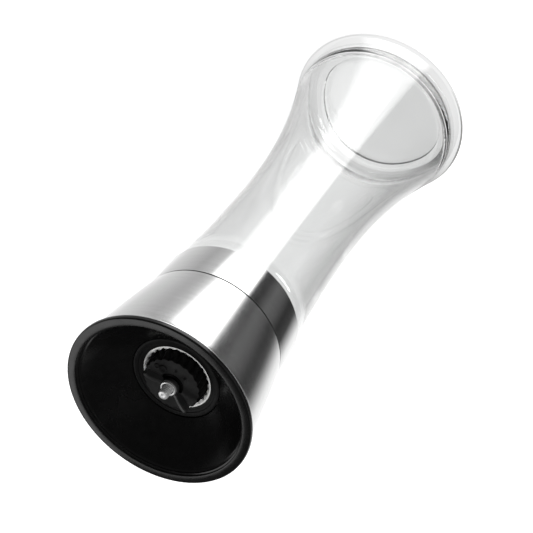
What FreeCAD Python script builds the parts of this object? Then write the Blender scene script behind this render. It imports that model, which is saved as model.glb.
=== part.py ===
"""Pepper mill: a glass jar with a steel-clad grinding head screwed on its neck.

The mill stands on the foot of its jar with the grinding mouth up. Millimetres, +Z up, the origin is
the centre of the foot. Every driving dimension is a cell of the sheet "dims", and the corners of each
outline are sums of those cells. Radii are from the mill's axis, heights from the surface it stands on.
"""
import FreeCAD, Part
import math
import os
import Sketcher

os.makedirs("parts", exist_ok=True)
doc = FreeCAD.newDocument("pepper_mill")

DIMENSIONS = {
    # the jar: two tangent arcs make the hourglass
    "jar_foot_flat": 30.4, "jar_foot_radius": 34.4, "jar_foot_round": 4.0, "jar_recess_radius": 24.0,
    "jar_recess_depth": 1.2, "jar_waist_radius": 22.35, "jar_waist_height": 80.0, "jar_lower_curve": 252.0,
    "jar_upper_curve": 600.0, "jar_shoulder_radius": 25.0, "jar_shoulder_height": 136.6,
    "jar_shoulder_drop": 0.6, "jar_wall": 2.6, "jar_base_thickness": 7.0, "jar_base_round": 5.0,
    "jar_inside_foot_radius": 29.0,
    "jar_throat_radius": 21.8, "jar_throat_height": 130.0,
    "neck_radius": 20.0, "neck_bore": 16.5, "neck_top": 149.6, "neck_root": 137.2,
    # the screw thread between jar and carrier
    "thread_lead": 4.0, "thread_turns_length": 5.0, "thread_depth": 1.2, "thread_base": 0.9,
    "thread_crest": 0.5,
    "thread_start": 141.0, "carrier_thread_start": 139.0, "thread_root": 0.3,
    # the carrier, which stays still while the head turns
    "collar_low": 137.2, "collar_top": 152.6, "collar_low_radius": 25.6, "collar_top_radius": 26.2,
    "collar_wall": 0.5, "carrier_low": 137.6, "carrier_floor": 150.9, "carrier_top": 152.4,
    "carrier_bore": 21.6, "carrier_play": 0.1, "guide_radius": 16.1, "guide_bore": 14.4, "guide_low": 147.6,
    "spigot_radius": 19.4, "spigot_bore": 17.0, "spigot_top": 159.6, "clip_low": 155.8, "clip_high": 157.0,
    "clip_inner": 18.7, "clip_outer": 21.2, "clip_slot": 5.0,
    # fits, and how far a cutting tool passes the metal it cuts
    "play": 0.1, "press_fit": 0.05, "head_gap": 0.3, "over": 1.0,
    # the drive bridge and the spindle
    "bridge_ring_outer": 16.9, "bridge_ring_inner": 14.6, "bridge_top": 154.6, "hub_radius": 5.2,
    "hub_low": 151.0, "hub_top": 155.4, "bridge_arm": 3.0, "bridge_arms": 3, "square": 5.0,
    "square_hole": 5.1,
    "flange_radius": 4.4, "flange_low": 149.4, "square_top": 174.2, "journal_radius": 1.75,
    "journal_top": 186.2, "journal_chamfer": 0.35, "e_low": 155.5, "e_high": 156.1, "e_groove": 2.1,
    "e_outer": 4.7, "e_mouth": 3.6, "e_mouth_start": 0.5, "seat_low": 156.2, "seat_high": 156.8,
    "seat_radius": 6.2, "square_clear": 3.7,
    "spring_low": 156.8, "spring_high": 165.4, "spring_radius": 5.1, "spring_wire": 0.45,
    "spring_turns": 5.0,
    # the turning head
    "skirt_low": 153.2, "skirt_top": 188.3, "skirt_low_radius": 26.4, "skirt_neck_radius": 31.5,
    "skirt_neck_height": 186.8, "skirt_lip_radius": 32.7, "skirt_lip_height": 187.9, "skirt_wall": 0.6,
    "skirt_curve": 420.0, "overall_height": 190.0, "rim_radius": 33.1, "rim_inner": 29.6, "rim_low": 188.4,
    "rim_round": 0.3, "rim_edge": 0.8, "rim_step_radius": 28.8, "rim_step_height": 188.6,
    "rim_step_rise": 0.2,
    "funnel_curve": 46.0, "socket_drop": 2.0, "skirt_tuck": 0.2,
    "liner_wall": 1.9, "liner_flange_bore": 19.7, "liner_flange_top": 155.4, "throat_seat": 15.7,
    "throat_seat_low": 174.4, "throat_seat_top": 177.1, "socket_radius": 14.35, "socket_outer": 16.2,
    "socket_low": 161.4, "ledge_top": 163.0, "ledge_radius": 12.9, "cushion_high": 163.6,
    "throat_outer": 15.6, "throat_inner": 12.2, "throat_lip": 14.5, "throat_low": 174.5,
    "throat_step": 176.5, "throat_top": 177.1, "throat_bevel": 0.4, "throat_slope": 0.3,
    # the burrs
    "stator_radius": 14.2, "stator_top": 176.1, "stator_mouth": 10.75, "stator_mouth_low": 174.5,
    "stator_dish": 11.8, "stator_dish_low": 175.4,
    "stator_nip": 10.3, "stator_nip_height": 169.5, "stator_entry": 12.2,
    "rotor_low": 161.0, "rotor_low_radius": 8.0, "rotor_nip_height": 169.0, "rotor_nip": 9.4,
    "rotor_rim": 10.5, "rotor_rim_low": 174.5, "rotor_rim_high": 176.2, "rotor_shoulder": 9.7,
    "rotor_shoulder_height": 179.6, "rotor_face": 9.4, "rotor_top": 180.0, "rotor_bore": 2.2,
    "bush_radius": 4.6, "bush_low": 166.2, "bush_top": 175.2, "bush_hole": 5.15, "rotor_pocket": 6.4,
    "cap_high": 166.2, "cap_radius": 6.2, "fine_teeth": 22, "coarse_teeth": 7, "stator_teeth": 26,
    "fine_half": 0.95, "fine_back": 0.6, "coarse_half": 2.0, "coarse_depth": 1.0, "coarse_rise": 1.5,
    "flute_depth": 0.9, "flute_back": 1.5,
    # the adjuster
    "washer_high": 180.4, "washer_radius": 4.2, "washer_bore": 1.9, "insert_low": 180.5,
    "insert_top": 182.8, "insert_radius": 2.75, "insert_bore": 1.85, "nut_low": 180.6, "nut_top": 182.0,
    "nut_radius": 3.4, "wing_bearing": -9.0, "wing_reach": 9.4, "wing_thickness": 1.5, "wing_root": 2.95,
    "wing_toe": 1.0, "wing_low_tip": 182.0,
    "wing_high_tip": 185.1, "wing_high_root": 182.9, "wing_edge": 0.5,
}

sheet = doc.addObject("Spreadsheet::Sheet", "dims")
for row, (name, number) in enumerate(DIMENSIONS.items(), start=1):
    sheet.set("A%d" % row, name)
    sheet.set("B%d" % row, str(number))
    sheet.setAlias("B%d" % row, name)
doc.recompute()

NODES = []


def size(words):
    """The value of a sum of sheet names and numbers, such as 'neck_top - jar_wall'."""
    total = 0.0
    sign = 1
    for word in words.split():
        if word in "+-":
            sign = 1 if word == "+" else -1
        elif word[0].isdigit():
            total += sign * float(word)
        else:
            total += sign * float(sheet.get(word))
    return total


def bound(words):
    """The same sum as an expression on the sheet."""
    return " ".join("dims." + word if word[0].isalpha() else word for word in words.split())


def origin_plane(body, role):
    """One of a body's own origin planes."""
    return next(item for item in body.Origin.OriginFeatures if item.Role == role)


def new_sketch(body, name, role="XZ_Plane"):
    """An empty sketch on one of a body's origin planes."""
    sketch = body.newObject("Sketcher::SketchObject", name)
    sketch.AttachmentSupport = [(origin_plane(body, role), "")]
    sketch.MapMode = "FlatFace"
    return sketch


def pin_down(sketch, edge, end, across, up):
    """Fix one end of an edge at two bound distances from the sketch's origin."""
    for kind, axis, words in (("DistanceX", -2, across), ("DistanceY", -1, up)):
        value = size(words)
        if abs(value) < 1e-9:
            sketch.addConstraint(Sketcher.Constraint("PointOnObject", edge, end, axis))
            continue
        index = sketch.addConstraint(Sketcher.Constraint(kind, edge, end, value))
        sketch.setExpression("Constraints[%d]" % index, bound(words))


def arc_edge(start, end, radius):
    """An arc from start to end. A positive radius puts its centre on the left of the way from start."""
    middle = (start + end) * 0.5
    run = end - start
    left = FreeCAD.Vector(-run.y, run.x, 0).normalize()
    reach = math.sqrt(radius ** 2 - (run.Length / 2) ** 2)
    centre = middle + left * math.copysign(reach, radius)
    low, high = (start, end) if radius > 0 else (end, start)
    circle = Part.Circle(centre, FreeCAD.Vector(0, 0, 1), abs(radius))
    return Part.ArcOfCircle(circle, circle.parameter(low), circle.parameter(high))


def outline(sketch, corners):
    """A closed outline. A corner is (across, up) or (across, up, arc radius to the next corner, side)."""
    points = [FreeCAD.Vector(size(corner[0]), size(corner[1]), 0) for corner in corners]
    for number, corner in enumerate(corners):
        start = points[number]
        end = points[(number + 1) % len(points)]
        if len(corner) == 4:
            edge = sketch.addGeometry(arc_edge(start, end, corner[3] * size(corner[2])), False)
            first, last = (1, 2) if corner[3] > 0 else (2, 1)
            index = sketch.addConstraint(Sketcher.Constraint("Radius", edge, size(corner[2])))
            sketch.setExpression("Constraints[%d]" % index, bound(corner[2]))
        else:
            edge = sketch.addGeometry(Part.LineSegment(start, end), False)
            first, last = 1, 2
        following = corners[(number + 1) % len(corners)]
        pin_down(sketch, edge, first, corner[0], corner[1])
        pin_down(sketch, edge, last, following[0], following[1])


def lathe(name, corners):
    """A node turned round the mill's axis from an outline of (radius, height) corners."""
    body = doc.addObject("PartDesign::Body", name)
    body.Label = name
    section = new_sketch(body, name + "_section")
    outline(section, corners)
    turned = body.newObject("PartDesign::Revolution", name + "_turned")
    turned.Profile = section
    turned.ReferenceAxis = (section, ["V_Axis"])
    turned.Angle = 360
    NODES.append(body)
    return body


def ring(name, inner, outer, low, high):
    """A plain flat ring."""
    return lathe(name, [(inner, low), (outer, low), (outer, high), (inner, high)])


def coil(body, name, corners, pitch, height):
    """A ridge or wire that climbs round the mill's axis."""
    section = new_sketch(body, name + "_section")
    if corners:
        outline(section, corners)
    helix = body.newObject("PartDesign::AdditiveHelix", name)
    helix.Profile = section
    helix.ReferenceAxis = (section, ["V_Axis"])
    helix.Mode = "pitch-height-angle"
    helix.setExpression("Pitch", bound(pitch))
    helix.setExpression("Height", bound(height))
    return section


def cut_down(body, name, draw, top, depth, role="XY_Plane"):
    """A pocket cut down from the height 'top', in a sketch that 'draw' fills. It must remove metal."""
    doc.recompute()
    before = body.Shape.Volume
    section = new_sketch(body, name + "_section", role)
    section.setExpression("AttachmentOffset.Base.z", bound(top))
    draw(section)
    pocket = body.newObject("PartDesign::Pocket", name)
    pocket.Profile = section
    pocket.setExpression("Length", bound(depth))
    doc.recompute()
    if body.Shape.Volume >= before:
        raise RuntimeError(name + " cuts nothing")
    return pocket


def around(body, feature, count):
    """Repeat a feature evenly round the mill's axis."""
    pattern = body.newObject("PartDesign::PolarPattern", feature.Name + "_round")
    pattern.Originals = [feature]
    pattern.Axis = (next(item for item in body.Origin.OriginFeatures if item.Role == "Z_Axis"), [""])
    pattern.Angle = 360
    pattern.setExpression("Occurrences", bound(count))
    body.Tip = pattern
    doc.recompute()


def square(sketch, side):
    """A square of a bound side round the sketch's origin."""
    half = size(side) / 2
    ends = [(-half, -half), (half, -half), (half, half), (-half, half)]
    for number, (across, up) in enumerate(ends):
        start = FreeCAD.Vector(across, up, 0)
        stop = FreeCAD.Vector(*ends[(number + 1) % 4], 0)
        edge = sketch.addGeometry(Part.LineSegment(start, stop), False)
        for end, point in ((1, start), (2, stop)):
            for kind, value in (("DistanceX", point.x), ("DistanceY", point.y)):
                index = sketch.addConstraint(Sketcher.Constraint(kind, edge, end, value))
                sign = "" if value > 0 else "-"
                sketch.setExpression("Constraints[%d]" % index, "%sdims.%s / 2" % (sign, side))


def notch(tip, back, half_width):
    """A drawing of a V notch: its tip at one radius and its back at another, along +X."""
    def draw(sketch):
        points = [FreeCAD.Vector(tip, 0, 0), FreeCAD.Vector(back, -half_width, 0),
                  FreeCAD.Vector(back, half_width, 0)]
        for number, start in enumerate(points):
            sketch.addGeometry(Part.LineSegment(start, points[(number + 1) % 3]), False)
        for number in range(3):
            sketch.addConstraint(Sketcher.Constraint("Coincident", number, 2, (number + 1) % 3, 1))
    return draw


def thread_ridge(root, crest, middle):
    """The corners of a thread ridge from its root radius to its crest radius about one height."""
    return [(root, middle + " - thread_base"), (crest, middle + " - thread_crest"),
            (crest, middle + " + thread_crest"), (root, middle + " + thread_base")]


# The glass jar: a thick foot, an hourglass body and a narrow neck with one turn of thread.
jar = lathe("glass_jar", [
    ("0", "jar_recess_depth"),
    ("jar_recess_radius", "jar_recess_depth"),
    ("jar_recess_radius + jar_recess_depth", "0"),
    ("jar_foot_flat", "0", "jar_foot_round", 1),
    ("jar_foot_radius", "jar_foot_round", "jar_lower_curve", -1),
    ("jar_waist_radius", "jar_waist_height", "jar_upper_curve", -1),
    ("jar_shoulder_radius", "jar_shoulder_height"),
    ("jar_shoulder_radius - jar_shoulder_drop", "neck_root"),
    ("neck_radius", "neck_root"),
    ("neck_radius", "neck_top"),
    ("neck_bore", "neck_top"),
    ("neck_bore", "neck_root"),
    ("jar_throat_radius", "jar_throat_height", "jar_upper_curve + jar_wall", 1),
    ("jar_waist_radius - jar_wall", "jar_waist_height", "jar_lower_curve + jar_wall", 1),
    ("jar_inside_foot_radius", "jar_base_thickness + jar_base_round", "jar_base_round", -1),
    ("jar_inside_foot_radius - jar_base_round", "jar_base_thickness"),
    ("0", "jar_base_thickness"),
])
coil(jar, "jar_thread", thread_ridge("neck_radius - thread_root", "neck_radius + thread_depth",
                                     "thread_start"), "thread_lead", "thread_turns_length")

# The gasket lies on the glass neck and is pressed by the carrier's floor.
ring("neck_gasket", "neck_bore", "neck_radius - play", "neck_top", "carrier_floor")

# The carrier: it screws on the neck, and its spigot is the axle that the head turns on.
carrier = lathe("neck_carrier", [
    ("carrier_bore", "carrier_low"),
    ("collar_low_radius - collar_wall - carrier_play", "carrier_low"),
    ("collar_top_radius - collar_wall - carrier_play", "carrier_top"),
    ("spigot_radius", "carrier_top"),
    ("spigot_radius", "clip_low"),
    ("clip_inner - play", "clip_low"),
    ("clip_inner - play", "clip_high"),
    ("spigot_radius", "clip_high"),
    ("spigot_radius", "spigot_top"),
    ("spigot_bore", "spigot_top"),
    ("spigot_bore", "carrier_top"),
    ("guide_bore", "carrier_top"),
    ("guide_bore", "guide_low"),
    ("guide_radius", "guide_low"),
    ("guide_radius", "carrier_floor"),
    ("carrier_bore", "carrier_floor"),
])
coil(carrier, "carrier_thread",
     thread_ridge("carrier_bore + thread_root", "carrier_bore - thread_depth", "carrier_thread_start"),
     "thread_lead", "thread_turns_length")

# The steel collar is pressed on the carrier.
lathe("collar_sleeve", [
    ("collar_low_radius - collar_wall", "collar_low"),
    ("collar_low_radius", "collar_low"),
    ("collar_top_radius", "collar_top"),
    ("collar_top_radius - collar_wall", "collar_top"),
])

# The head turns on this slippery ring, and the open clip in the spigot's groove keeps it on.
ring("thrust_washer", "spigot_radius + play", "collar_top_radius - collar_wall - carrier_play - play",
     "carrier_top", "skirt_low - head_gap")
swivel_clip = ring("swivel_clip", "clip_inner", "clip_outer", "clip_low", "clip_high")


def clip_mouth(inner, outer, half_width):
    """A drawing of the gap of an open ring, along +X."""
    def draw(sketch):
        corners = [(inner, -half_width), (outer, -half_width), (outer, half_width), (inner, half_width)]
        for number, (across, up) in enumerate(corners):
            start = FreeCAD.Vector(across, up, 0)
            stop = FreeCAD.Vector(*corners[(number + 1) % 4], 0)
            sketch.addGeometry(Part.LineSegment(start, stop), False)
        for number in range(4):
            sketch.addConstraint(Sketcher.Constraint("Coincident", number, 2, (number + 1) % 4, 1))
    return draw


cut_down(swivel_clip, "swivel_clip_gap", clip_mouth(size("clip_inner - over"), size("clip_outer + over"),
         size("clip_slot") / 2), "clip_high + over", "clip_high - clip_low + over + over")

# The bridge: three arms hold a square-holed hub, and pepper falls between them.
bridge = lathe("drive_bridge", [("0", "hub_low"), ("hub_radius", "hub_low"), ("hub_radius", "hub_top"),
                                ("0", "hub_top")])
doc.recompute()
rim_section = new_sketch(bridge, "bridge_rim_section")
outline(rim_section, [("bridge_ring_inner", "carrier_top"), ("bridge_ring_outer", "carrier_top"),
                      ("bridge_ring_outer", "bridge_top"), ("bridge_ring_inner", "bridge_top")])
arm_section = new_sketch(bridge, "bridge_arm_section", "XY_Plane")
arm_section.setExpression("AttachmentOffset.Base.z", "dims.carrier_top")
clip_mouth(size("hub_radius - over"), size("bridge_ring_inner + over"), size("bridge_arm") / 2)(arm_section)
arm = bridge.newObject("PartDesign::Pad", "bridge_arm")
arm.Profile = arm_section
arm.setExpression("Length", "dims.bridge_top - dims.carrier_top")
doc.recompute()
around(bridge, arm, "bridge_arms")
rim = bridge.newObject("PartDesign::Revolution", "bridge_rim")
rim.Profile = rim_section
rim.ReferenceAxis = (rim_section, ["V_Axis"])
rim.Angle = 360
cut_down(bridge, "bridge_square", lambda sketch: square(sketch, "square_hole"), "hub_top + over",
         "hub_top - hub_low + over + over")

# The spindle: a flange under the bridge, a square shank that drives the rotor and a threaded end.
spindle = lathe("spindle", [
    ("0", "flange_low"),
    ("flange_radius", "flange_low"),
    ("flange_radius", "hub_low"),
    ("e_groove", "hub_low"),
    ("e_groove", "square_top"),
    ("journal_radius", "square_top"),
    ("journal_radius", "journal_top - journal_chamfer"),
    ("journal_radius - journal_chamfer", "journal_top"),
    ("0", "journal_top"),
])
for name, low, high in (("shank_low", "hub_low", "e_low"), ("shank_high", "e_high", "square_top")):
    doc.recompute()
    section = new_sketch(spindle, name + "_section", "XY_Plane")
    section.setExpression("AttachmentOffset.Base.z", bound(low))
    square(section, "square")
    shank = spindle.newObject("PartDesign::Pad", name)
    shank.Profile = section
    shank.setExpression("Length", bound(high + " - " + low))

# The open clip snaps round the spindle's groove and stands on the bridge's hub.
spindle_clip = ring("spindle_clip", "e_groove + play", "e_outer", "e_low", "e_high")
cut_down(spindle_clip, "spindle_clip_gap", clip_mouth(size("e_mouth_start"), size("e_outer + over"),
         size("e_mouth") / 2), "e_high + over", "e_high - e_low + over + over")

# The spring stands on a washer on the clip and pushes the rotor up through a cap.
ring("spring_seat_washer", "square_clear", "seat_radius", "seat_low", "seat_high")
spring = doc.addObject("PartDesign::Body", "spring")
spring.Label = "spring"
NODES.append(spring)
wire_section = coil(spring, "spring_coil", None, "spring_low", "spring_high")
wire = sheet.get("spring_wire")
wire_centre = FreeCAD.Vector(sheet.get("spring_radius"), size("spring_low + spring_wire"), 0)
wire_section.addGeometry(Part.Circle(wire_centre, FreeCAD.Vector(0, 0, 1), wire), False)
wire_section.addConstraint(Sketcher.Constraint("Radius", 0, wire))
wire_section.setExpression("Constraints[0]", "dims.spring_wire")
pin_down(wire_section, 0, 3, "spring_radius", "spring_low + spring_wire")
spring_helix = doc.getObject("spring_coil")
spring_helix.setExpression("Height", "dims.spring_high - dims.spring_low - 2 * dims.spring_wire")
spring_helix.setExpression("Pitch", "(dims.spring_high - dims.spring_low - 2 * dims.spring_wire)"
                                    " / dims.spring_turns")
ring("spring_cap", "square_clear", "cap_radius", "spring_high", "cap_high")

# The rotor: a toothed cone, coarse below where pepper enters and fine at its widest ring.
rotor = lathe("rotor", [
    ("rotor_pocket", "rotor_low"),
    ("rotor_low_radius", "rotor_low"),
    ("rotor_nip", "rotor_nip_height"),
    ("rotor_rim", "rotor_rim_low"),
    ("rotor_rim", "rotor_rim_high"),
    ("rotor_shoulder", "rotor_shoulder_height"),
    ("rotor_face", "rotor_top"),
    ("rotor_bore", "rotor_top"),
    ("rotor_bore", "bush_top"),
    ("bush_radius", "bush_top"),
    ("bush_radius", "bush_low"),
    ("rotor_pocket", "bush_low"),
])
fine = cut_down(rotor, "fine_tooth", notch(size("rotor_shoulder - play"), size("rotor_rim + fine_back"),
                size("fine_half")), "rotor_top + over", "rotor_top - rotor_nip_height + over")
around(rotor, fine, "fine_teeth")
coarse_notch = notch(size("rotor_low_radius - coarse_depth"), size("rotor_nip + over"), size("coarse_half"))
coarse = cut_down(rotor, "coarse_tooth", coarse_notch, "rotor_nip_height + coarse_rise",
                  "rotor_nip_height - rotor_low + coarse_rise + over")
around(rotor, coarse, "coarse_teeth")

# Its steel bush slides on the spindle's square shank.
bush = lathe("rotor_bush", [("0", "bush_low"), ("bush_radius - press_fit", "bush_low"),
                            ("bush_radius - press_fit", "bush_top"), ("0", "bush_top")])
cut_down(bush, "bush_square", lambda sketch: square(sketch, "bush_hole"), "bush_top + over",
         "bush_top - bush_low + over + over")

# The ceramic ring round the rotor, fluted inside, rests on a rubber cushion in the liner's socket.
stator = lathe("stator", [
    ("stator_entry", "cushion_high"),
    ("stator_radius", "cushion_high"),
    ("stator_radius", "stator_top"),
    ("stator_dish", "stator_top"),
    ("stator_mouth", "stator_dish_low"),
    ("stator_mouth", "stator_mouth_low"),
    ("stator_nip", "stator_nip_height"),
])
flute = cut_down(stator, "flute", notch(size("stator_mouth + flute_depth"), size("stator_nip - flute_back"),
                 size("fine_half")), "stator_mouth_low", "stator_mouth_low - cushion_high + over")
around(stator, flute, "stator_teeth")
ring("stator_cushion", "ledge_radius + play", "stator_radius", "ledge_top", "cushion_high")

# The stepped ring screwed in above the stator keeps it in its socket.
lathe("throat_ring", [
    ("throat_inner", "stator_top + press_fit"),
    ("stator_radius + play", "stator_top + press_fit"),
    ("stator_radius + play", "throat_low"),
    ("throat_outer", "throat_low"),
    ("throat_outer", "throat_top"),
    ("throat_lip + throat_bevel", "throat_top"),
    ("throat_lip", "throat_step + play"),
    ("throat_inner + throat_slope", "throat_step"),
])

# The liner: one plastic moulding with the mouth's rim, the funnel, the socket and the turning flange.
lathe("skirt_liner", [
    ("liner_flange_bore", "skirt_low"),
    ("skirt_low_radius - skirt_wall - play", "skirt_low", "skirt_curve", 1),
    ("skirt_neck_radius - skirt_wall - play", "skirt_neck_height"),
    ("skirt_neck_radius - skirt_wall - play", "rim_low"),
    ("rim_radius - rim_round", "rim_low"),
    ("rim_radius", "rim_low + rim_round"),
    ("rim_radius", "overall_height - rim_edge", "rim_edge", 1),
    ("rim_radius - rim_edge", "overall_height"),
    ("rim_inner + rim_round", "overall_height"),
    ("rim_inner", "overall_height - rim_round"),
    ("rim_inner - play", "rim_step_height + rim_step_rise"),
    ("rim_step_radius", "rim_step_height", "funnel_curve", -1),
    ("throat_seat", "throat_seat_top"),
    ("throat_seat", "throat_seat_low"),
    ("socket_radius", "throat_seat_low"),
    ("socket_radius", "ledge_top"),
    ("ledge_radius", "ledge_top"),
    ("ledge_radius", "socket_low"),
    ("socket_outer", "socket_low"),
    ("socket_outer", "throat_seat_low - socket_drop"),
    ("throat_seat + liner_wall", "throat_seat_top - liner_wall", "funnel_curve", 1),
    ("rim_step_radius", "rim_step_height - liner_wall - liner_wall"),
    ("skirt_low_radius - skirt_wall - liner_wall", "liner_flange_top + liner_wall"),
    ("skirt_low_radius - skirt_wall - liner_wall", "liner_flange_top"),
    ("liner_flange_bore", "liner_flange_top"),
])

# The steel skirt over the liner, brushed, with its edge flared out behind the rim.
lathe("skirt_shell", [
    ("skirt_low_radius - skirt_wall", "skirt_low"),
    ("skirt_low_radius", "skirt_low", "skirt_curve", 1),
    ("skirt_neck_radius", "skirt_neck_height"),
    ("skirt_lip_radius", "skirt_lip_height"),
    ("skirt_lip_radius", "skirt_top"),
    ("skirt_neck_radius - skirt_tuck", "skirt_top"),
    ("skirt_neck_radius - skirt_wall", "skirt_neck_height", "skirt_curve - skirt_wall", -1),
])

# The adjuster: a wing nut with a steel insert turns on the spindle's end and pushes the rotor down.
ring("nut_washer", "washer_bore", "washer_radius", "rotor_top", "washer_high")
ring("nut_insert", "insert_bore", "insert_radius", "insert_low", "insert_top")
nut = ring("wing_nut", "insert_radius + press_fit", "nut_radius", "nut_low", "nut_top")
doc.recompute()
for side in (1, -1):
    name = "wing_right" if side > 0 else "wing_left"
    section = new_sketch(nut, name + "_section")
    section.AttachmentOffset.Rotation = FreeCAD.Rotation(FreeCAD.Vector(0, 1, 0), size("wing_bearing"))
    section.setExpression("AttachmentOffset.Rotation.Angle", "dims.wing_bearing * 1 deg")
    wing = [("wing_root", "nut_low"), ("wing_reach - wing_toe", "wing_low_tip"),
            ("wing_reach", "wing_low_tip + wing_toe"), ("wing_reach", "wing_high_tip - wing_edge"),
            ("wing_reach - wing_edge", "wing_high_tip"), ("wing_root", "wing_high_root")]
    points = [FreeCAD.Vector(side * size(across), size(up), 0) for across, up in wing]
    for number, start in enumerate(points):
        section.addGeometry(Part.LineSegment(start, points[(number + 1) % len(points)]), False)
    for number in range(len(points)):
        joined = (number + 1) % len(points)
        section.addConstraint(Sketcher.Constraint("Coincident", number, 2, joined, 1))
    blade = nut.newObject("PartDesign::Pad", name)
    blade.Profile = section
    blade.Midplane = True
    blade.setExpression("Length", "dims.wing_thickness")
    doc.recompute()

doc.recompute()
for item in doc.Objects:
    if "Invalid" in item.State or "Error" in item.State:
        raise RuntimeError(item.Name + " failed: " + str(item.State))
for body in NODES:
    shape = body.Shape
    if shape.isNull() or not shape.isValid() or len(shape.Solids) != 1:
        raise RuntimeError("%s is not one good solid" % body.Label)
for body in NODES:
    body.Shape.exportStep("parts/%s.step" % body.Label)
    print(body.Label, round(body.Shape.Volume, 1))
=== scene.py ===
"""Pepper mill with a glass jar, a steel collar and a steel-clad grinding head, standing on its foot."""
import bmesh
import bpy
import math
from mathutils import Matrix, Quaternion, Vector


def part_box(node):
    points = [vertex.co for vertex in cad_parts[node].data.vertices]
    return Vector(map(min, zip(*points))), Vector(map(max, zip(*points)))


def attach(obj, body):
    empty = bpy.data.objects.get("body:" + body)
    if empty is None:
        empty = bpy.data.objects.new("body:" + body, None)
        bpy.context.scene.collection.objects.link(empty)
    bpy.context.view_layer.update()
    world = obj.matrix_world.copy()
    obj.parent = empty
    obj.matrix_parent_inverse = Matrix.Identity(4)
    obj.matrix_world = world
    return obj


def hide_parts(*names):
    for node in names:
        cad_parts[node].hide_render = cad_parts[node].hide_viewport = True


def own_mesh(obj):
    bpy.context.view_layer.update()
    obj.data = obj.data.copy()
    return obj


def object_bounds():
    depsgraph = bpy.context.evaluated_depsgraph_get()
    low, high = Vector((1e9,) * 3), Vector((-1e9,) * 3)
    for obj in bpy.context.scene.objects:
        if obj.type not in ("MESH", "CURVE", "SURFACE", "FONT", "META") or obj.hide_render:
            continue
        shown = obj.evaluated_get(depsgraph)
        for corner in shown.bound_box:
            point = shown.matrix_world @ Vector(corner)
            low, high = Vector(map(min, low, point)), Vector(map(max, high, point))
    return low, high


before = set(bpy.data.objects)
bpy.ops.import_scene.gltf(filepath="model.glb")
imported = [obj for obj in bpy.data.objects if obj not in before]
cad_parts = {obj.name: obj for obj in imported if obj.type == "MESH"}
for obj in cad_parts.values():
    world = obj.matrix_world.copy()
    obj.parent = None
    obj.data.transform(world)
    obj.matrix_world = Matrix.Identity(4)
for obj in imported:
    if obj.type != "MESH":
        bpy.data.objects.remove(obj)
cad_low, cad_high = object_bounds()
# The stage and the camera are set out in metres. Sizes of pieces are in millimetres, times MM.
MM = 0.001
mill_height = cad_high.z

# --- Stage ---------------------------------------------------------------------------------------
# A white light table under a sky that darkens upwards. Glowing cards on the table, hidden from the
# camera, give the steel its bands and show through the glass. A softbox stands behind the mill, and
# the key lamp makes no glint.
scene = bpy.context.scene
scene.view_settings.view_transform = "Standard"


def add_object(name, mesh):
    """A new object of a mesh, at the origin."""
    made = bpy.data.objects.new(name, mesh)
    scene.collection.objects.link(made)
    return made


def flat_disc(name, inner, outer, height, steps=96):
    """A flat ring on the ground, facing up."""
    mesh = bpy.data.meshes.new(name)
    turns = [2 * math.pi * step / steps for step in range(steps)]
    rings = [[(r * math.cos(turn), r * math.sin(turn), height) for turn in turns] for r in (inner, outer)]
    faces = [(step, steps + step, steps + (step + 1) % steps, (step + 1) % steps) for step in range(steps)]
    mesh.from_pydata(rings[0] + rings[1], [], faces)
    return add_object(name, mesh)


def glow(name, strength):
    """A material that only shines, and its emission node."""
    material = bpy.data.materials.new(name)
    material.use_nodes = True
    nodes = material.node_tree.nodes
    nodes.remove(nodes["Principled BSDF"])
    lamp = nodes.new("ShaderNodeEmission")
    lamp.inputs["Strength"].default_value = strength
    material.node_tree.links.new(lamp.outputs["Emission"], nodes["Material Output"].inputs["Surface"])
    return material, lamp


PINHOLE = 0.0001
TABLE_RADIUS = 4.0
floor = flat_disc("light_table", PINHOLE, TABLE_RADIUS, 0.0)
floor_finish = bpy.data.materials.new("light_table_top")
floor_finish.use_nodes = True
floor_shader = floor_finish.node_tree.nodes["Principled BSDF"]
floor_shader.inputs["Base Color"].default_value = (0.8, 0.8, 0.8, 1)
floor_shader.inputs["Roughness"].default_value = 0.9
floor_shader.inputs["Emission Color"].default_value = (1, 1, 1, 1)
floor_shader.inputs["Emission Strength"].default_value = 0.9
floor.data.materials.append(floor_finish)


def ring_of_card(name, inner, outer, height, tones):
    """A ring of glowing card on the table, its tone set by bearing from the -Y side towards +X."""
    card = flat_disc(name, inner, outer, height)
    finish, lamp = glow(name + "_tones", 1.0)
    nodes, links = finish.node_tree.nodes, finish.node_tree.links
    place = nodes.new("ShaderNodeTexCoord")
    spin = nodes.new("ShaderNodeMapping")
    spin.inputs["Rotation"].default_value = (0, 0, math.radians(90))
    bearings = nodes.new("ShaderNodeTexGradient")
    bearings.gradient_type = "RADIAL"
    ramp = nodes.new("ShaderNodeValToRGB")
    links.new(place.outputs["Object"], spin.inputs["Vector"])
    links.new(spin.outputs["Vector"], bearings.inputs["Vector"])
    links.new(bearings.outputs["Fac"], ramp.inputs["Fac"])
    links.new(ramp.outputs["Color"], lamp.inputs["Color"])
    while len(ramp.color_ramp.elements) < len(tones):
        ramp.color_ramp.elements.new(0.5)
    for element, (bearing, tone) in zip(ramp.color_ramp.elements, tones):
        element.position = (bearing + 180) / 360
        element.color = (tone, tone, tone, 1)
    card.data.materials.append(finish)
    card.visible_camera = False
    card.visible_diffuse = False
    card.visible_shadow = False
    return card


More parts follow.
